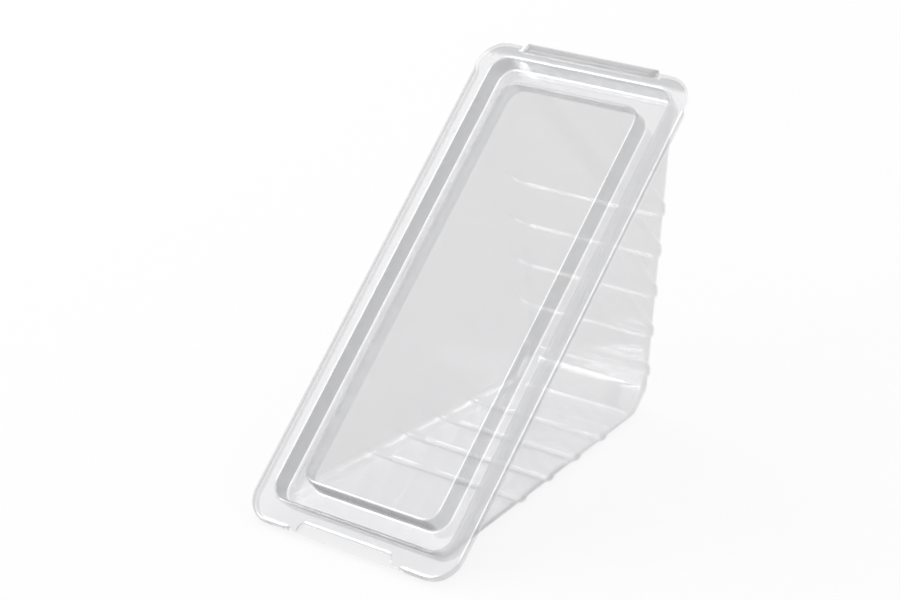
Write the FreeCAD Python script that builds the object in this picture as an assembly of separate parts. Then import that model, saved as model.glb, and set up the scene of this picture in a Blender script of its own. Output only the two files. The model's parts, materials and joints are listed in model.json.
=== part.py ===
import FreeCAD, Part
import math
import os

# Clear plastic sandwich wedge pack: a deep three-cornered tray and a shallow lid, thermoformed
# from one sheet and joined by a living hinge. Sizes in millimetres and degrees.
# The forms are laid out on the mouth: X across it, Y up its slope to the hinge, Z out of it,
# with the parting plane of the two flanges at Z = 0. The finished pack is turned to stand.

# Sheet and clearances
sheet = 0.45
parting_gap = 0.3
plug_fit = 0.4
ledge_fit = 0.4
rim_fit = 0.4

# Flanges, each with a skirt turned down round it
flange_length = 185.0
flange_width = 87.0
flange_corner = 10.0
lid_skirt = 2.0
tray_skirt = 2.6
skirt_hinge_stop = 10.0
rim_bend = 0.8

# Recess of the lid, which plugs the mouth
margin_side = 7.0
margin_hinge = 5.5
margin_front = 9.4
recess_depth = 7.0
recess_corner = 6.0
wall_draft = 2.0

# Window panel raised out of the recess
groove_side = 8.2
groove_hinge = 7.8
groove_front = 7.4
panel_corner = 6.0
panel_rise = 0.3
panel_bevel = 0.8

# Front edge, where fingers part the two flanges
ear_gap = 48.0
notch_width = 39.0
notch_depth = 3.6

# Tray
ledge = 2.2
apex_flat = 10.8
hinge_leg_angle = 45.0
base_leg_angle = 41.0
side_draft = 7.0
tray_corner = 6.0

# Hoop ribs round the two legs of the tray
rib_height = 0.7
rib_width = 2.0
hinge_rib_first = 59.0
hinge_rib_pitch = 10.5
hinge_rib_count = 5
base_rib_first = -50.0
base_rib_pitch = 12.4
base_rib_count = 4

# Living hinge: a bead rolled between the ends of the flanges
hinge_width = 54.0
hinge_bead = 1.5
hinge_neck = 0.6
hinge_notch = 1.5
hinge_overhang = 1.7

# Levels and edges that follow from these
flange_half = flange_width / 2
flange_end = flange_length / 2
lid_top = parting_gap / 2 + sheet
tray_top = -parting_gap / 2
floor_level = lid_top - recess_depth
ledge_level = floor_level - sheet - ledge_fit
recess = (flange_half - margin_side, -flange_end + margin_front, flange_end - margin_hinge)
panel = (recess[0] - groove_side, recess[1] + groove_front, recess[2] - groove_hinge)
plug_gap = sheet + plug_fit
rim_gap = sheet + rim_fit
mouth = (recess[0] + plug_gap, recess[1] - plug_gap, recess[2] + plug_gap)
legs_top = (mouth[1] - sheet + ledge, mouth[2] + sheet - ledge)
legs_taper = 1 / math.tan(math.radians(hinge_leg_angle)) + 1 / math.tan(math.radians(base_leg_angle))
apex_level = ledge_level - (legs_top[1] - legs_top[0] - apex_flat) / legs_taper
hinge_axis = flange_end + hinge_overhang - hinge_bead
hinge_seat = hinge_axis - hinge_bead - hinge_neck
deep = apex_level - 20
high = 20


def outline(half, front, back, corner, z):
    """Closed rounded-rectangle wire at height z."""
    bend = corner * (1 - math.sqrt(0.5))
    points = [
        (half - corner, front), (half - bend, front + bend), (half, front + corner),
        (half, back - corner), (half - bend, back - bend), (half - corner, back),
        (corner - half, back), (bend - half, back - bend), (-half, back - corner),
        (-half, front + corner), (bend - half, front + bend), (corner - half, front),
    ]
    at = [FreeCAD.Vector(x, y, z) for x, y in points]
    edges = []
    for i in range(0, 12, 3):
        edges.append(Part.Arc(at[i], at[i + 1], at[i + 2]).toShape())
        edges.append(Part.makeLine(at[i + 2], at[(i + 3) % 12]))
    return Part.Wire(edges)


def prism(half, front, back, corner, low, top):
    """Straight block with a rounded-rectangle outline."""
    face = Part.Face(outline(half, front, back, corner, low))
    return face.extrude(FreeCAD.Vector(0, 0, top - low))


def drafted(area, corner, grow, low, top, level, draft):
    """Block whose outline is area grown by grow at the given level, and widens with height."""
    wires = []
    for z in (low, top):
        shift = grow + (z - level) * math.tan(math.radians(draft))
        wires.append(outline(area[0] + shift, area[1] - shift, area[2] + shift, corner + shift, z))
    return Part.makeLoft(wires, True, True)


def slab(x_low, x_high, y_low, y_high, low, top):
    """Plain box between two corners."""
    return Part.makeBox(x_high - x_low, y_high - y_low, top - low, FreeCAD.Vector(x_low, y_low, low))


def flat_edges(shape, z, inside=None):
    """Edges of a shape that lie in the plane at height z, within a half width if one is given."""
    found = []
    for edge in shape.Edges:
        box = edge.BoundBox
        if abs(box.ZMin - z) < 1e-4 and abs(box.ZMax - z) < 1e-4:
            if inside is None or max(box.XMax, -box.XMin) < inside:
                found.append(edge)
    return found


def extrude_profile(points, along):
    """Solid swept from a closed polygon along a vector."""
    return Part.Face(Part.makePolygon(points + points[:1])).extrude(along)


# Tray

def leg_y(z, inset, start, angle, side):
    """Place of a leg wall on the slope at height z, moved inwards by inset."""
    run = (ledge_level - z) / math.tan(math.radians(angle)) + inset / math.sin(math.radians(angle))
    return start - side * run


def wedge(inset):
    """Three-cornered body of the tray below its ledge, with every face moved inwards by inset."""
    top, bottom = ledge_level + 0.5, apex_level + inset
    base, back = (legs_top[0], base_leg_angle, -1), (legs_top[1], hinge_leg_angle, 1)
    side = [FreeCAD.Vector(-100, leg_y(z, inset, *leg), z) for z, leg in (
        (top, base), (top, back), (bottom, back), (bottom, base))]
    slope = math.radians(side_draft)
    half = [mouth[0] + sheet - ledge - (ledge_level - z) * math.tan(slope) - inset / math.cos(slope)
            for z in (top, bottom)]
    front = [FreeCAD.Vector(x, -200, z) for x, z in (
        (-half[0], top), (half[0], top), (half[1], bottom), (-half[1], bottom))]
    body = extrude_profile(side, FreeCAD.Vector(200, 0, 0)).common(
        extrude_profile(front, FreeCAD.Vector(0, 400, 0)))
    bends = [edge for edge in body.Edges if edge.BoundBox.ZMin < top - 1]
    return body.makeFillet(tray_corner - inset, bends)


def ribs(inset, width):
    """Slices of the body, proud of it by the rib height, one at each rib."""
    places = [hinge_rib_first - i * hinge_rib_pitch for i in range(hinge_rib_count)]
    places += [base_rib_first + i * base_rib_pitch for i in range(base_rib_count)]
    body = wedge(inset - rib_height)
    slices = [slab(-100, 100, y - width / 2, y + width / 2, deep, ledge_level - sheet / 2) for y in places]
    return body.common(Part.makeCompound(slices))


def pocket(inset):
    """Mouth, wedge and ribs as one block, inset inside the outer face of the sheet."""
    grow = sheet - inset
    return drafted(mouth, recess_corner + plug_gap, grow, ledge_level - grow, tray_top, tray_top, wall_draft).fuse([
        wedge(inset), ribs(inset, rib_width - 2 * inset)]).removeSplitter()


def rim(area_gap, top, skirt):
    """Flange plate with its skirt: a cap, hollow below."""
    cap = [prism(flange_half - gap, gap - flange_end, flange_end - gap, flange_corner - gap, -high, level)
           for gap, level in ((area_gap, top), (area_gap + sheet, top - sheet))]
    return cap[0].cut(cap[1]).cut(skirt_trim(top, skirt))


def make_tray():
    """Rim and pocket as one outer form, less the space inside the sheet."""
    tab = slab(-ear_gap / 2 + rim_fit, ear_gap / 2 - rim_fit, -flange_end, 0, tray_top - sheet, tray_top)
    outer = rim(rim_gap, tray_top, tray_skirt).fuse([pocket(0), tab]).removeSplitter()
    inner = slab(-200, 200, -200, 200, tray_top, high).fuse(pocket(sheet)).removeSplitter()
    inner = inner.makeFillet(rim_bend + sheet, flat_edges(inner, tray_top, 199))
    return outer.cut(inner).cut(hinge_gap())


def hinge_gap():
    """Notch across the end of a flange that the hinge bead fills."""
    half = hinge_width / 2 + hinge_notch
    return slab(-half, half, hinge_seat, flange_end + 10, -10, 10)


# Lid

def lid_form(inset):
    """Everything below the sheet's upper face, moved inwards by inset."""
    top = lid_top - inset
    floor = floor_level - inset
    crown = lid_top + panel_rise - inset
    form = prism(flange_half - inset, inset - flange_end, flange_end - inset, flange_corner - inset, -high, top)
    form = form.cut(drafted(recess, recess_corner, inset, floor, high, lid_top, wall_draft))
    form = form.fuse(drafted(panel, panel_corner, -inset, floor - 1, crown, lid_top, -wall_draft))
    form = form.removeSplitter()
    form = form.makeFillet(rim_bend + sheet - inset, flat_edges(form, top))
    return form.makeChamfer(panel_bevel - inset * (2 - math.sqrt(2)), flat_edges(form, crown))


def skirt_trim(top, skirt):
    """What is cut away under a flange: all below its skirt, and the skirt where there is none."""
    ring = slab(-200, 200, -200, 200, -high - 1, top - skirt)
    plate = top - sheet
    ring = ring.fuse(slab(-200, 200, flange_end - skirt_hinge_stop, 200, -high - 1, plate))
    ring = ring.fuse(slab(-ear_gap / 2, ear_gap / 2, -200, 0, -high - 1, plate))
    gap = rim_gap + sheet + rim_bend
    core = prism(flange_half - gap, gap - flange_end, flange_end - gap, flange_corner - gap, -high - 2, high)
    return ring.cut(core)


def finger_notch():
    """Slot with round ends in the lid's front edge, over the tray's flange."""
    half = notch_width / 2
    return prism(half, -flange_end - notch_depth, notch_depth - flange_end, notch_depth / 2.01,
                 lid_top - 3 * sheet, high)


def make_lid():
    """Sheet of the lid: flange, plug recess, raised panel and skirt."""
    skin = lid_form(0).cut(lid_form(sheet)).cut(skirt_trim(lid_top, lid_skirt))
    return skin.cut(finger_notch()).cut(hinge_gap())


# Hinge

def make_hinge():
    """Rolled bead with a neck to each flange, extruded across the pack."""
    start = FreeCAD.Vector(-hinge_width / 2, hinge_axis, 0)
    across = FreeCAD.Vector(1, 0, 0)
    bead = Part.makeCylinder(hinge_bead, hinge_width, start, across)
    bore = Part.makeCylinder(hinge_bead - sheet, hinge_width, start, across)
    half = hinge_width / 2
    necks = slab(-half, half, hinge_seat, hinge_axis - hinge_bead / 2, -lid_top, lid_top)
    slot = slab(-half, half, hinge_seat, hinge_axis, -parting_gap / 2, parting_gap / 2)
    return bead.fuse(necks).cut(bore).cut(slot).removeSplitter()


# Standing pose

def rest_slope():
    """Slope of the mouth when the pack stands on the tray's front ears and its last base rib."""
    front = (rim_gap - flange_end, tray_top - tray_skirt)
    last = base_rib_first + (base_rib_count - 1) * base_rib_pitch + rib_width / 2
    lift = -rib_height / math.sin(math.radians(base_leg_angle))
    fall = (last - legs_top[0] - lift) * math.tan(math.radians(base_leg_angle))
    return math.degrees(math.atan2(front[1] - (ledge_level - fall), last - front[0]))


def place(shapes):
    """Turn the shapes to stand, with the origin at the middle of the footprint's box."""
    turned = []
    for shape in shapes:
        copy = shape.copy()
        copy.rotate(FreeCAD.Vector(0, 0, 0), FreeCAD.Vector(1, 0, 0), rest_slope())
        turned.append(copy)
    box = Part.makeCompound(turned).BoundBox
    move = FreeCAD.Vector(-box.Center.x, -box.Center.y, -box.ZMin)
    for shape in turned:
        shape.translate(move)
    return turned, move


def hinge_place(move):
    """Centre of the hinge bead in the standing pack."""
    turn = FreeCAD.Rotation(FreeCAD.Vector(1, 0, 0), rest_slope())
    return turn.multVec(FreeCAD.Vector(0, hinge_axis, 0)) + move


names = ("tray", "lid", "hinge")
solids, shift = place([make_tray(), make_lid(), make_hinge()])
os.makedirs("parts", exist_ok=True)
for name, solid in zip(names, solids):
    solid = solid.Solids[0] if len(solid.Solids) == 1 else solid
    print(name, len(solid.Solids), solid.isValid(), round(solid.Volume), solid.BoundBox)
    solid.exportStep("parts/" + name + ".step")
print("slope of the mouth", round(rest_slope(), 3), "hinge axis", hinge_place(shift))
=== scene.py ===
import json
import bmesh
import bpy
import numpy as np
from mathutils import Matrix, Vector


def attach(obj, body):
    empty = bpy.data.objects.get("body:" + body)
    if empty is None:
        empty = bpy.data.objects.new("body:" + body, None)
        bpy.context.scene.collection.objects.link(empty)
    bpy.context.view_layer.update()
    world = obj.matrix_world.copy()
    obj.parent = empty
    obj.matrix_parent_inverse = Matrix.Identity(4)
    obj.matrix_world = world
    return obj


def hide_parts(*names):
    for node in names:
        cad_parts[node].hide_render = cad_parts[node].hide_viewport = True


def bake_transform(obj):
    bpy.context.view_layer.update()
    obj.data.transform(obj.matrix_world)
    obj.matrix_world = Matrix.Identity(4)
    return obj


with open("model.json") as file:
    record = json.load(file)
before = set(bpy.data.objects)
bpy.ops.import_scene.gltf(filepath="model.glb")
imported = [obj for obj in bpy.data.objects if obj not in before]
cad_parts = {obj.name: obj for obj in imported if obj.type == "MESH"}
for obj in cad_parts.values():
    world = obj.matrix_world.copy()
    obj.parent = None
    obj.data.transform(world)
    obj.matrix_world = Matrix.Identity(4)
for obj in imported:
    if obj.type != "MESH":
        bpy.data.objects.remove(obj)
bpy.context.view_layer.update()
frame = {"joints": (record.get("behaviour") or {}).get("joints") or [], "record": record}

# Clear plastic sandwich wedge pack. Surfaces are worked out in millimetres on the mouth:
# x across it, y up its slope to the hinge, z out of it, with the parting plane at z = 0.
# An outline is (half width, front, back), with corners of the radius named after it.

MM = 0.001
SHEET = 0.45
DRAFT = np.tan(np.radians(2.0))

# Flanges: the tray's rim sits inside the lid's, and the lid's front is set back between its ears
FLANGE = (43.5, -92.5, 92.5)
FLANGE_CORNER = 10.0
LID_TOP = 0.6
TRAY_TOP = -0.15
RIM_GAP = 0.85
EDGE_FLAT = 0.4
FRONT_SETBACK = 0.65
TAB_HALF = 23.6
NOTCH_HALF = 19.5
NOTCH_DEPTH = 3.6

# Skirts
LID_SKIRT = 2.0
TRAY_SKIRT = 2.6
LID_BEND = 1.25
TRAY_BEND = 1.0
SKIRT_STOP = 82.5
SKIRT_FADE = 2.4
EAR_GAP = 24.0
EAR_FADE = 1.6

# Recess and raised panel of the lid
RECESS = (36.5, -83.1, 87.0)
RECESS_CORNER = 6.0
FLOOR = LID_TOP - 7.0
PANEL = (28.3, -75.7, 79.2)
PANEL_CORNER = 6.0
CROWN = LID_TOP + 0.3
BRIM_BEND = 1.25
LID_FOOT_BEND = 0.8

# Mouth, ledge and wedge of the tray, with the places of the ribs along y
MOUTH = (37.35, -83.95, 87.85)
MOUTH_CORNER = 6.85
MOUTH_FOOT_BEND = 0.6
LEDGE = FLOOR - SHEET - 0.4
LEGS = (-82.2, 86.1)
LEG_ANGLES = (41.0, 45.0)
APEX_FLAT = 10.8
SIDE_HALF = 35.6
SIDE_DRAFT = np.radians(7.0)
TRAY_CORNER = 6.0
RIBS = (59.0, 48.5, 38.0, 27.5, 17.0, -50.0, -37.6, -25.2, -12.8)
RIB_HEIGHT = 0.7
RIB_FOOT = 1.45
RIB_SLOPE = 0.85
RIB_SIDE_FADE = 0.8

# Living hinge: a bead between two gaps
HINGE_AXIS = 92.7
HINGE_SEAT = 90.6
HINGE_HALF = 27.0
HINGE_GAP = 28.5
HINGE_SHEET = 0.3
BEAD = 1.5
NECK = 0.42

# Painted shade on the sheet's drawn walls, panel and hinge end, the strip's haze, and the places
# across it where front walls get more painted shade and the panel's left wall and right rim almost
# none
LID_WALL_SHADE = 1.0
TRAY_WALL_SHADE = 0.25
STRIP_HAZE = 1.2
PANEL_SHADE = 0.5
HINGE_END_SHADE = 0.7
HINGE_END = 87.5
SHADED_FRONT_HALF = 33.0
UNSHADED_LEFT = (-31.0, -24.0)
UNSHADED_RIGHT = 33.0

# Fineness: weld distance, points on an arc of a profile, on a flange's bend, round a corner, round
# the bead and across the strip, and shares at which a straight run between two bends is cut
WELD = 0.012
ARC_STEPS = 6
RIM_STEPS = 7
CORNER_STEPS = 10
BEAD_STEPS = 41
STRIP_STEPS = 19
RUN_SHARES = (0.12, 0.5, 0.88)

# Places across a flange's ends where something changes: notch, tab, ears and hinge
NOTCH_MARKS = (18.4, 19.0, 19.4, 19.52)
EDGE_MARKS = sorted(NOTCH_MARKS + (
    0, 4, 8, 12, 15, 17.7, 19.5, 20.5, 22.4, 23.0, 23.6, 23.62, 24.2, 24.8, 25.4, 26.2, 27.3,
    28.48, 28.5, 29.6, 31, 32.2, 33.5))
EDGE_REACH = FLANGE[0] - FLANGE_CORNER

# Standing pose of the mouth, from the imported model
out_of_mouth = frame["record"]["mounts"][0]["axis"]
SLOPE = np.arctan2(-out_of_mouth[1], out_of_mouth[2])
TURN = np.array([[1, 0, 0],
                 [0, np.cos(SLOPE), -np.sin(SLOPE)],
                 [0, np.sin(SLOPE), np.cos(SLOPE)]])
SHIFT = np.array(frame["joints"][0]["pos_m"]) - TURN @ [0, HINGE_AXIS * MM, 0]


def standing(points):
    """Mouth points in millimetres, turned by the slope and moved to the standing pack in metres."""
    return points * MM @ TURN.T + SHIFT


def ease(x):
    """Smooth step: 3x² - 2x³ of x held between 0 and 1."""
    x = np.clip(x, 0, 1)
    return x * x * (3 - 2 * x)


# Mesh making

def grid_faces(rows, columns, closed):
    """Quads between neighbouring rows of a row-by-row grid, round the seam too if it is closed."""
    quads = columns if closed else columns - 1
    r, c = np.meshgrid(np.arange(rows - 1), np.arange(quads), indexing="ij")
    n = (c + 1) % columns
    low, high = r * columns, (r + 1) * columns
    return np.stack([low + c, low + n, high + n, high + c], -1).reshape(-1, 4)


def mark_haze_and_shade(mesh, wall_shade, plain):
    """Attribute of haze and painted shade on the sheet, the largest of four values. Steep: painted
    shade, the wall shade times how far the normal turns away from the mouth's, above the ledge,
    times 2.5 on front walls and almost nothing on the panel's left wall and at the right rim.
    Panel: painted shade that grows from the flange's height to the crown. End: painted shade that
    grows towards the hinge. Plain: haze, the same everywhere."""
    places, normals = (np.empty(len(mesh.vertices) * 3) for _ in range(2))
    mesh.vertices.foreach_get("co", places)
    mesh.vertex_normals.foreach_get("vector", normals)
    x, y, z = ((places.reshape(-1, 3) - SHIFT) @ TURN).T / MM
    out = np.abs(normals.reshape(-1, 3) @ TURN)[:, 2]
    # Painted shade: more on front walls, almost none on the panel's left wall and the right rim
    front = ease((PANEL[1] + 1.0 - y) / 0.8) * (y > RECESS[1] - 1.5)
    shaded_front = front * ease((SHADED_FRONT_HALF - np.abs(x)) / 4)
    unshaded = ease((x - UNSHADED_LEFT[0]) / 1.5) * ease((UNSHADED_LEFT[1] - x) / 2)
    unshaded = ease((x - UNSHADED_RIGHT) / 2) + unshaded
    steep = wall_shade * ease((0.8 - out) / 0.5) * (z > LEDGE + 0.05)
    steep = steep * np.maximum(1 + 1.5 * shaded_front - 0.95 * unshaded, 0)
    panel_shade = PANEL_SHADE * ease((z - LID_TOP) / (CROWN - LID_TOP))
    end = HINGE_END_SHADE * ease((y - HINGE_END) / 1.5)
    most = np.max([steep, panel_shade, end, np.full(len(z), plain)], 0)
    # Painted shade and plain haze together, read by the clear plastic material
    haze_and_shade = mesh.attributes.new("haze_and_shade", "FLOAT", "POINT")
    haze_and_shade.data.foreach_set("value", most.astype(np.float32))


def make_piece(name, grids, body, node, wall_shade, plain=0.0, thickness=SHEET):
    """One welded sheet at the origin from (points, closed) grids: rows of mouth points that give
    its upper skin, with the sheet's thickness added below it."""
    points, faces, start = [], [], 0
    for grid, closed in grids:
        rows, columns = grid.shape[:2]
        points.append(grid.reshape(-1, 3))
        faces.append(grid_faces(rows, columns, closed) + start)
        start += rows * columns
    mesh = bpy.data.meshes.new(name)
    mesh.from_pydata(standing(np.concatenate(points)).tolist(), [], np.concatenate(faces).tolist())
    shape = bmesh.new()
    shape.from_mesh(mesh)
    bmesh.ops.remove_doubles(shape, verts=shape.verts, dist=WELD * MM)
    shape.to_mesh(mesh)
    shape.free()
    mesh.polygons.foreach_set("use_smooth", np.full(len(mesh.polygons), True))
    mark_haze_and_shade(mesh, wall_shade, plain)
    piece = bpy.data.objects.new(name, mesh)
    bpy.context.scene.collection.objects.link(piece)
    wall = piece.modifiers.new("sheet", "SOLIDIFY")
    wall.thickness = thickness * MM
    wall.offset = -1.0
    wall.use_even_offset = True
    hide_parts(node)
    if body:
        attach(piece, body)
    return piece


# Profiles and rings

def rounded(corners, radii, steps=ARC_STEPS):
    """Open profile through 2-D corners, each inner corner replaced by an arc that touches both its
    sides: with half angle a between the sides, its middle is radius / sin(a) from the corner on
    their bisector, and it sweeps 90 degrees - a to each side."""
    corners = np.asarray(corners, float)
    path = [corners[:1]]
    for before, corner, after, radius in zip(corners, corners[1:], corners[2:], radii):
        u, v = (before - corner), (after - corner)
        u, v = u / np.linalg.norm(u), v / np.linalg.norm(v)
        half = np.arccos(np.clip(u @ v, -1, 1)) / 2
        along = (v - u) / np.linalg.norm(v - u)
        inward = (u + v) / np.linalg.norm(u + v)
        middle = corner + inward * radius / np.sin(half)
        sweep = np.linspace(-1, 1, steps)[:, None] * (np.pi / 2 - half)
        path.append(middle + radius * (np.sin(sweep) * along - np.cos(sweep) * inward))
    return np.concatenate(path + [corners[-1:]])


def bent_wall(corners, radii):
    """Profile of a wall between its two bends: both arcs, and points along the run between. The
    first and last corner only give the directions of the flats."""
    path = rounded(corners, radii)[1:-1]
    start, end = path[ARC_STEPS - 1:ARC_STEPS + 1]
    run = [start + (end - start) * share for share in RUN_SHARES]
    return np.concatenate([path[:ARC_STEPS], run, path[ARC_STEPS:]])


def ring(area, corner, grow, place):
    """Points (x, y) round an outline grown outwards: straight edges, and corner arcs about hubs one
    radius in from both edges. A place is (side, share): sides 0, 2, 4 and 6 are the front, right,
    back and left edges, and 1, 3, 5 and 7 the corners that follow them, from the front left on."""
    side, share = place
    half, front, back = area[0] + grow, area[1] - grow, area[2] + grow
    r = corner + grow
    across, along = half - r, (back - front) / 2 - r
    turn = side // 2
    angle = (turn - 1 + share) * np.pi / 2
    hub_x = np.where((turn == 0) | (turn == 1), across, -across)
    hub_y = np.where((turn == 1) | (turn == 2), along, -along)
    edges = [side == 0, side == 2, side == 4, side == 6]
    swing = 2 * share - 1
    back_swing = 1 - 2 * share
    x = np.select(edges, [swing * across, half, back_swing * across, -half],
                  hub_x + r * np.cos(angle))
    y = np.select(edges, [-along - r, swing * along, along + r, back_swing * along],
                  hub_y + r * np.sin(angle))
    return np.stack([x, y + (front + back) / 2], -1)


def level(flat, z):
    """A ring of (x, y) points at a height, or at a height for each point."""
    heights = np.broadcast_to(np.asarray(z, float), flat.shape[:1])
    return np.concatenate([flat, heights[:, None]], -1)


def between(a, b, shares):
    """Rings between two others, at shares of the way."""
    return [a + (b - a) * share for share in shares]


def loop_places(end, side):
    """Places round a loop from shares along the front and back edges and along the sides, with even
    steps round the corners."""
    bend = np.arange(1, CORNER_STEPS) / CORNER_STEPS
    parts = []
    for turn in range(4):
        edge = end if turn % 2 == 0 else side
        edge = edge if turn < 2 else 1 - edge[::-1]
        parts.append(np.stack([np.full(len(edge), 2 * turn), edge]))
        parts.append(np.stack([np.full(len(bend), 2 * turn + 1), bend]))
    side_of, share = np.concatenate(parts, 1)
    return side_of.astype(int), share


def end_shares(marks):
    """Marks across a flange's end and their mirror images, as shares of its straight edge."""
    marks = np.asarray(marks, float)
    both = np.unique(np.concatenate([-marks, marks]))
    return (both + EDGE_REACH) / (2 * EDGE_REACH)


def skirt_depth(y, deep, ears):
    """Depth of a skirt: at the front, deep times the share of the ears; along the sides, deep up to
    where it eases out towards the hinge."""
    sides = ease((SKIRT_STOP - y) / SKIRT_FADE)
    return deep * np.where(y < FLANGE[1] + FLANGE_CORNER, ears, sides)


def flange_rings(inset, top, deep, bend, place, is_lid):
    """Rings of a flange's edge, from the foot of its skirt over a quarter circle to the flat, and
    the innermost before any cut. Each is cut back at the hinge. The lid's are also cut by the
    finger notch, a straight edge with a quarter circle at each end, and set back between the ears;
    the tray's middle front is moved out by the rim's gap as a pull tab."""
    bends = np.linspace(0, np.pi / 2, RIM_STEPS)
    profile = [(0.0, deep), (0.0, (deep + bend) / 2)]
    profile += [(bend * (1 - np.cos(a)), bend * (1 - np.sin(a))) for a in bends]
    profile += [(bend + EDGE_FLAT, 0.0)]
    rings = []
    for shift, drop in profile:
        flat = ring(FLANGE, FLANGE_CORNER, -inset - shift, place)
        x, y = flat[:, 0], flat[:, 1]
        low = y < 0
        ears = ease((np.abs(x) - (EAR_GAP if is_lid else TAB_HALF)) / EAR_FADE)
        fall = np.minimum(drop, skirt_depth(y, deep, ears))
        if is_lid:
            side = np.clip(np.abs(x) - (NOTCH_HALF - NOTCH_DEPTH / 2), 0, NOTCH_DEPTH / 2)
            edge = FLANGE[1] + NOTCH_DEPTH / 2 + np.sqrt(NOTCH_DEPTH ** 2 / 4 - side ** 2)
            y = np.where(low & (np.abs(x) <= NOTCH_HALF), np.maximum(y, edge), y)
            near_edge = np.clip(1 - (y - FLANGE[1]) / (bend + EDGE_FLAT), 0, 1)
            y = np.where(low, y + FRONT_SETBACK * (1 - ears) * near_edge, y)
        else:
            y = np.where(low & (np.abs(x) < TAB_HALF + 0.01), y - RIM_GAP, y)
        y = np.where(~low & (np.abs(x) < HINGE_GAP - 0.01), np.minimum(y, HINGE_SEAT), y)
        rings.append(level(np.stack([x, y], -1), top - fall))
    return rings, level(flat, top)


def wall_rings(area, corner, profile, place):
    """Rings round an outline, one for each (grow, height) of a profile."""
    return [level(ring(area, corner, grow, place), z) for grow, z in profile]


# Lid

def make_lid():
    """Flange, plug recess and raised panel: rings from the foot of the skirt inwards to a seam
    along the panel."""
    side = np.concatenate([[0, 0.006, 0.014], np.linspace(0.03, 0.95, 28),
                           [0.962, 0.972, 0.98, 0.987, 0.993, 0.997, 1]])
    place = loop_places(end_shares(EDGE_MARKS), side)
    lean = (LID_TOP - FLOOR) * DRAFT
    outer, inmost = flange_rings(0.0, LID_TOP, LID_SKIRT, LID_BEND, place, True)
    well = bent_wall([(6, LID_TOP), (0, LID_TOP), (-lean, FLOOR), (-9, FLOOR)],
                     (BRIM_BEND, LID_FOOT_BEND))
    mesa = bent_wall([(9, FLOOR), (lean, FLOOR), (-(CROWN - LID_TOP) * DRAFT, CROWN), (-9, CROWN)],
                     (LID_FOOT_BEND, BRIM_BEND))
    well = wall_rings(RECESS, RECESS_CORNER, well, place)
    mesa = wall_rings(PANEL, PANEL_CORNER, mesa, place)
    seam = mesa[-1].copy()
    seam[:, 0] = 0
    reach = PANEL[0] - 2
    seam[:, 1] = np.clip(seam[:, 1], PANEL[1] + reach, PANEL[2] - reach)
    rings = outer + between(inmost, well[0], RUN_SHARES[1:]) + well
    rings += between(well[-1], mesa[0], RUN_SHARES) + mesa
    rings += between(mesa[-1], seam, (0.04, 0.12, 0.25, 0.4, 0.55, 0.7, 0.85, 1.0))
    return make_piece("lid_sheet", [(np.array(rings), True)], "lid", "lid", LID_WALL_SHADE)


# Tray

def leg_profile():
    """Inner floor of the tray along y as (y, z): the base leg, the apex and the back leg, straight
    lines at their angles with round bends between."""
    base, back = (np.tan(np.radians(a)) for a in LEG_ANGLES)
    inset = [SHEET / np.sin(np.radians(a)) for a in LEG_ANGLES]
    apex = LEDGE - (LEGS[1] - LEGS[0] - APEX_FLAT) / (1 / base + 1 / back)
    ends = (LEGS[0] + inset[0], LEGS[1] - inset[1])
    bottom = apex + SHEET
    turns = (ends[0] + (LEDGE - bottom) / base, ends[1] - (LEDGE - bottom) / back)
    corners = [(ends[0], LEDGE), (turns[0], bottom), (turns[1], bottom), (ends[1], LEDGE)]
    return rounded(corners, (TRAY_CORNER - SHEET,) * 2, 12)


def hoop_rows(profile):
    """Places along y for the hoops: close together across each rib, round the bends and where the
    legs meet the ledge, and even between."""
    across_rib = [-1.6, -1.3, -1.05, -0.8, -0.5, 0, 0.5, 0.8, 1.05, 1.3, 1.6]
    from_end = np.array([0, 0.15, 0.4, 0.8, 1.3, 1.9, 2.6, 3.4, 4.3, 5.3, 6.3, 7.2, 8.2, 9.6, 12])
    ribs = np.add.outer(np.array(RIBS), across_rib).ravel()
    low, high = profile[0, 0], profile[-1, 0]
    even = np.linspace(low + 14, high - 14, 34)
    gap = np.min(np.abs(even[:, None] - ribs), 1)
    rows = [low + from_end, high - from_end, profile[1:-1, 0], ribs, even[gap > 1.2]]
    return np.unique(np.round(np.concatenate(rows), 6))


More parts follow.
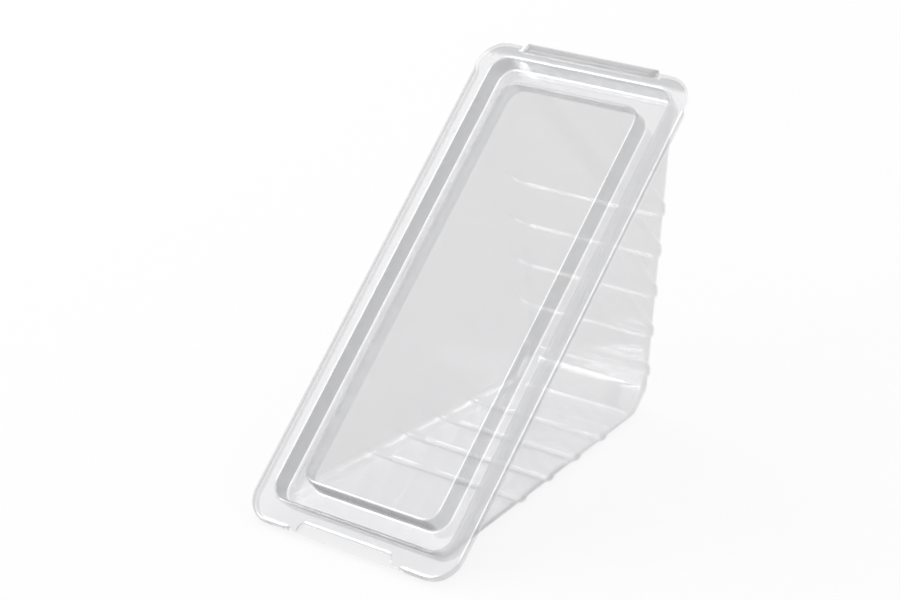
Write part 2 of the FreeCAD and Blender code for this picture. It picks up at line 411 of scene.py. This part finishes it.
def hoops(y, profile, proud):
    """Hoops of the tray at places y: at each, a flat floor at the leg's depth, a bend and a drafted
    side up to the ledge. A leg that falls with slope s makes the bend an ellipse, a circle's height
    times sqrt(1 + s²). Moving the skin outwards by proud moves the floor by proud * sqrt(1 + s²)
    and the sides by proud / cos(draft)."""
    z_leg = np.interp(y, profile[:, 0], profile[:, 1])
    steep = np.sqrt(1 + np.gradient(z_leg, y) ** 2)
    floor = z_leg - proud * steep
    r = TRAY_CORNER - SHEET + proud
    tilt = np.tan(SIDE_DRAFT)
    foot = SIDE_HALF - (LEDGE - floor) * tilt - (SHEET - proud) / np.cos(SIDE_DRAFT)
    lean = np.arctan(steep * tilt)
    flat = foot - r * np.tan((np.pi / 2 - lean) / 2)
    top = (LEDGE - floor) / steep
    end = np.minimum(-lean, np.arcsin(np.clip(top / r - 1, -1, 1)))
    bend = np.linspace(0, 1, 9)[1:]
    angle = -np.pi / 2 + (end[:, None] + np.pi / 2) * bend
    bend_x = flat[:, None] + r[:, None] * np.cos(angle)
    bend_z = r[:, None] * (1 + np.sin(angle))
    last_x, last_z = bend_x[:, -1:], bend_z[:, -1:]
    length = np.maximum(top[:, None] - last_z, 0)
    drops = np.array([np.inf, 5.0, 2.6, 1.8, 1.2, 0.7, 0.3, 0])
    parts = np.array([0.75, 0.6, 0.5, 0.4, 0.3, 0.2, 0.1, 0])
    wall_z = top[:, None] - np.minimum(drops / steep[:, None], length * parts)
    wall_x = last_x + (wall_z - last_z) * steep[:, None] * tilt
    half_x = np.concatenate([bend_x, wall_x], 1)
    half_z = np.concatenate([bend_z, wall_z], 1)
    share = end_shares([mark for mark in EDGE_MARKS if mark not in NOTCH_MARKS]) * 2 - 1
    x = np.concatenate([-half_x[:, ::-1], flat[:, None] * share, half_x], 1)
    z = np.concatenate([half_z[:, ::-1], np.zeros((len(y), len(share))), half_z], 1)
    z = floor[:, None] + z * steep[:, None]
    return np.stack([x, np.broadcast_to(y[:, None], x.shape), z], -1)


def mouth_places(loop, grow):
    """Places round the mouth's outline nearest to each point of a loop just inside it: by the angle
    about a corner's hub beyond both its edges' ends, and by the share of the edge elsewhere."""
    half, r = MOUTH[0] + grow, MOUTH_CORNER + grow
    middle = (MOUTH[1] + MOUTH[2]) / 2
    across, along = half - r, (MOUTH[2] - MOUTH[1]) / 2 + grow - r
    x, y = loop[:, 0], loop[:, 1] - middle
    corner = (np.abs(x) > across) & (np.abs(y) > along)
    turn = np.select([(x > 0) & (y < 0), (x > 0) & (y >= 0), (x <= 0) & (y >= 0)], [0, 1, 2], 3)
    angle = np.arctan2(y - np.sign(y) * along, x - np.sign(x) * across) / (np.pi / 2)
    bend = np.clip(np.mod(angle - turn + 1.5, 4) - 0.5, 0, 1)
    edge = np.where(np.abs(y) > along, np.where(y < 0, 0, 4), np.where(x > 0, 2, 6))
    share = np.select([edge == 0, edge == 2, edge == 4],
                      [x / across, y / along, -x / across], -y / along)
    share = np.clip((share + 1) / 2, 0, 1)
    return np.where(corner, 2 * turn + 1, edge), np.where(corner, bend, share)


def make_tray():
    """Rim rings and the wedge's hoops, which share the loop where the wedge meets the ledge. A rib
    is a smooth step up and down along the leg, eased out below the ledge and faded up the sides.
    """
    profile = leg_profile()
    y = hoop_rows(profile)
    off = np.min(np.abs(y[:, None] - np.array(RIBS)), 1)
    proud = RIB_HEIGHT * ease((RIB_FOOT - off) / RIB_SLOPE)
    plain, ribbed = hoops(y, profile, np.zeros_like(y)), hoops(y, profile, proud)
    height = plain[..., 2:] - plain[..., 2:].min(1, keepdims=True)
    kept = 1 - RIB_SIDE_FADE * ease((height - 5) / 9)
    grown = ease((LEDGE - plain[..., 2:] - 0.3) / 1.6) * kept
    body = plain + (ribbed - plain) * grown
    body[..., 2] = np.minimum(body[..., 2], LEDGE)
    loop = np.concatenate([body[0], body[1:, -1], body[-1, -2::-1], body[-2:0:-1, 0]])
    lean = (TRAY_TOP - LEDGE) * DRAFT
    foot = mouth_places(loop, -lean)
    wall = bent_wall([(6, TRAY_TOP), (0, TRAY_TOP), (-lean, LEDGE), (-9, LEDGE)],
                     (BRIM_BEND, MOUTH_FOOT_BEND))
    wall = wall_rings(MOUTH, MOUTH_CORNER, wall, foot)
    outer, inmost = flange_rings(RIM_GAP, TRAY_TOP, TRAY_SKIRT, TRAY_BEND, foot, False)
    rings = outer + between(inmost, wall[0], RUN_SHARES[1:]) + wall
    rings += between(wall[-1], loop, (0.35, 0.8, 1.0))
    grids = [(np.array(rings), True), (body, False)]
    return make_piece("tray_sheet", grids, "tray", "tray", TRAY_WALL_SHADE)


# Living hinge

def make_hinge():
    """Rolled strip across the back: from the tray's flange out along the neck, round a circle about
    the hinge's axis, and back to the lid's flange."""
    radius = BEAD - HINGE_SHEET / 2
    near = np.pi + np.arcsin(NECK / radius)
    angle = np.linspace(near, 3 * np.pi - near, BEAD_STEPS)
    bead = np.stack([HINGE_AXIS + radius * np.cos(angle), radius * np.sin(angle)], -1)
    path = np.concatenate([[(HINGE_SEAT - 0.2, -NECK), (HINGE_SEAT + 0.3, -NECK)], bead,
                           [(HINGE_SEAT + 0.3, NECK), (HINGE_SEAT - 0.2, NECK)]])
    x = np.linspace(-HINGE_HALF, HINGE_HALF, STRIP_STEPS)
    size = (len(path), len(x))
    points = np.stack([np.broadcast_to(x, size), np.broadcast_to(path[:, :1], size),
                       np.broadcast_to(path[:, 1:], size)], -1)
    grids = [(points, False)]
    strip = make_piece("hinge_strip", grids, None, "hinge", 0.0, STRIP_HAZE, HINGE_SHEET)
    strip.modifiers["sheet"].offset = 0.0
    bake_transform(strip)
    return strip


# Shader maths

class Wire:
    """A socket of a material's nodes whose operators add Math nodes."""

    def __init__(self, tree, socket):
        self.tree, self.socket = tree, socket

    def math(self, operation, other):
        values = {0: self, 1: other}
        return node(self.tree, "ShaderNodeMath", {"operation": operation}, values)[0]

    def __add__(self, other):
        return self.math("ADD", other)

    def __mul__(self, other):
        return self.math("MULTIPLY", other)

    def __pow__(self, other):
        return self.math("POWER", other)

    def __rsub__(self, other):
        return self * -1 + other

    __radd__, __rmul__ = __add__, __mul__


def node(tree, kind, settings=None, inputs=None):
    """A new node: settings first, then socket values or links, and its outputs as wires."""
    made = tree.nodes.new(kind)
    for key, value in (settings or {}).items():
        setattr(made, key, value)
    for key, value in (inputs or {}).items():
        if isinstance(value, Wire):
            tree.links.new(value.socket, made.inputs[key])
        else:
            made.inputs[key].default_value = value
    return [Wire(tree, out) for out in made.outputs]


def mixed(tree, share, first, second):
    """Two shaders mixed by the share of the second."""
    return node(tree, "ShaderNodeMixShader", None, {0: share, 1: first, 2: second})[0]


def new_material(name):
    """A material with an empty node tree, and that tree."""
    material = bpy.data.materials.new(name)
    material.use_nodes = True
    material.node_tree.nodes.clear()
    return material, material.node_tree


def clear_plastic():
    """Thin clear sheet: see-through straight on, mirror-like at a grazing angle (5 percent plus
    95 percent of facing to the fourth), greyed and dulled by the attribute of haze and painted
    shade, with the long soft ripples of a vacuum-formed wall and a fine grain."""
    material, tree = new_material("clear_plastic")
    place = node(tree, "ShaderNodeTexCoord")[3]
    haze_and_shade = node(tree, "ShaderNodeAttribute", {"attribute_name": "haze_and_shade"})[2]
    ripple = node(tree, "ShaderNodeTexNoise", None, {
        "Vector": place, "Scale": 24.0, "Detail": 1.0, "Roughness": 0.45})[0]
    grain = node(tree, "ShaderNodeTexNoise", None, {
        "Vector": place, "Scale": 900.0, "Detail": 2.0})[0]
    bump = node(tree, "ShaderNodeBump", None, {
        "Height": ripple + grain * 0.02, "Strength": 0.25, "Distance": 0.00012})[0]
    gloss = node(tree, "ShaderNodeBsdfPrincipled", None, {
        "Base Color": (0.945, 0.945, 0.95, 1), "Metallic": 1.0,
        "Roughness": ripple * 0.04 + 0.02, "Normal": bump})[0]
    clear = node(tree, "ShaderNodeBsdfTransparent", None, {"Color": (0.931, 0.931, 0.934, 1)})[0]
    # Dark grey mixed in by the haze and the painted shade
    dark_haze_and_shade = node(tree, "ShaderNodeBsdfPrincipled", None, {
        "Base Color": (0.28, 0.28, 0.285, 1), "Roughness": 0.5})[0]
    film = mixed(tree, haze_and_shade * 0.16, clear, dark_haze_and_shade)
    away = node(tree, "ShaderNodeLayerWeight", None, {"Blend": 0.5, "Normal": bump})[1]
    # The haze and the painted shade also take away mirror
    mirror = (away ** 4.0 * 0.95 + 0.05) * (1 - haze_and_shade * 0.6)
    surface = mixed(tree, mirror + grain * 0.01, film, gloss)
    node(tree, "ShaderNodeOutputMaterial", None, {"Surface": surface})
    return material


# Set and light

# Brighter patches of the mirrored world: direction, dot products where one starts and is full,
# and strength
PATCHES = (((-0.594, -0.76, 0.26), 0.88, 0.95, 3.5),
           ((0.762, -0.183, 0.621), 0.93, 0.97, 3.0),
           ((0.42, 0.70, 0.57), 0.965, 0.99, 3.5))


def make_floor():
    """Large pale floor under the pack, mostly white to the camera, with the pack's shadow on it."""
    reach = 4
    corners = [(-reach, -reach, 0), (reach, -reach, 0), (reach, reach, 0), (-reach, reach, 0)]
    mesh = bpy.data.meshes.new("floor")
    mesh.from_pydata(corners, [], [(0, 1, 2, 3)])
    floor = bpy.data.objects.new("floor", mesh)
    floor.location = (0, 0, -0.0002)
    bpy.context.scene.collection.objects.link(floor)
    material, tree = new_material("pale_floor")
    paint = node(tree, "ShaderNodeBsdfPrincipled", None, {
        "Base Color": (0.88, 0.88, 0.88, 1), "Roughness": 0.9, "Specular IOR Level": 0.1})[0]
    white = node(tree, "ShaderNodeEmission", None, {"Color": (1, 1, 1, 1), "Strength": 1.0})[0]
    seen = node(tree, "ShaderNodeLightPath")[0]
    surface = mixed(tree, seen * 0.8, paint, white)
    node(tree, "ShaderNodeOutputMaterial", None, {"Surface": surface})
    mesh.materials.append(material)


def smooth_range(tree, value, start, end, low, high):
    """A value's smooth step from low at start to high at end."""
    return node(tree, "ShaderNodeMapRange", {"interpolation_type": "SMOOTHSTEP"},
                {0: value, 1: start, 2: end, 3: low, 4: high})[0]


def make_world():
    """White to the camera and near white for the light on the set. Where the gloss mirrors it, the
    world is dark at the horizon and brightens upwards, with brighter patches."""
    world = bpy.data.worlds.new("studio")
    world.use_nodes = True
    tree = world.node_tree
    tree.nodes.clear()
    bpy.context.scene.world = world
    look = node(tree, "ShaderNodeTexCoord")[0]
    up = node(tree, "ShaderNodeSeparateXYZ", None, {0: look})[2]
    wall = smooth_range(tree, up, 0.0, 0.6, 0.22, 1.8)
    for direction, start, full, strength in PATCHES:
        toward = node(tree, "ShaderNodeVectorMath", {"operation": "DOT_PRODUCT"},
                      {0: look, 1: direction})[1]
        wall = wall + smooth_range(tree, toward, start, full, 0.0, strength)
    path = node(tree, "ShaderNodeLightPath")
    seen, mirrored = path[0], path[3]
    plain = node(tree, "ShaderNodeBackground", None, {
        "Color": (1, 1, 1, 1), "Strength": seen * 0.1 + 0.9})[0]
    dim = node(tree, "ShaderNodeBackground", None, {"Color": (1, 1, 1, 1), "Strength": wall})[0]
    node(tree, "ShaderNodeOutputWorld", None, {"Surface": mixed(tree, mirrored, plain, dim)})


def lamp(name, place, size, power):
    """Soft square lamp aimed at the middle of the pack."""
    light = bpy.data.lights.new(name, "AREA")
    light.shape, light.size, light.energy = "SQUARE", size, power
    holder = bpy.data.objects.new(name, light)
    holder.location = place
    toward = Vector(place) - Vector((0, 0, 0.06))
    holder.rotation_euler = toward.to_track_quat("Z", "Y").to_euler()
    bpy.context.scene.collection.objects.link(holder)


def make_camera():
    """Camera of the photograph on the mouth: its place in millimetres, and the directions to its
    right and ahead of it."""
    place = standing(np.array([518.122, -230.499, 673.63]))
    right = TURN @ np.array([0.774779, 0.438858, -0.455105])
    ahead = TURN @ np.array([-0.593834, 0.258102, -0.762066])
    axes = np.stack([right, np.cross(right, ahead), -ahead, place], -1)
    lens = bpy.data.cameras.new("camera")
    lens.lens, lens.sensor_width = 108.15, 36.0
    lens.clip_start, lens.clip_end = 0.05, 50
    camera = bpy.data.objects.new("camera", lens)
    camera.matrix_world = Matrix(axes.tolist() + [[0, 0, 0, 1]])
    bpy.context.scene.collection.objects.link(camera)
    bpy.context.scene.camera = camera


scene = bpy.context.scene
scene.view_settings.view_transform = "Standard"
scene.cycles.transparent_max_bounces = 32
make_camera()
sheets = [make_tray(), make_lid(), make_hinge()]
plastic = clear_plastic()
for sheet in sheets:
    sheet.data.materials.append(plastic)
make_floor()
make_world()
lamp("key", (-0.89, -1.14, 0.42), 0.5, 4.5)
lamp("fill", (-0.9, 0.4, 1.15), 0.45, 3.5)
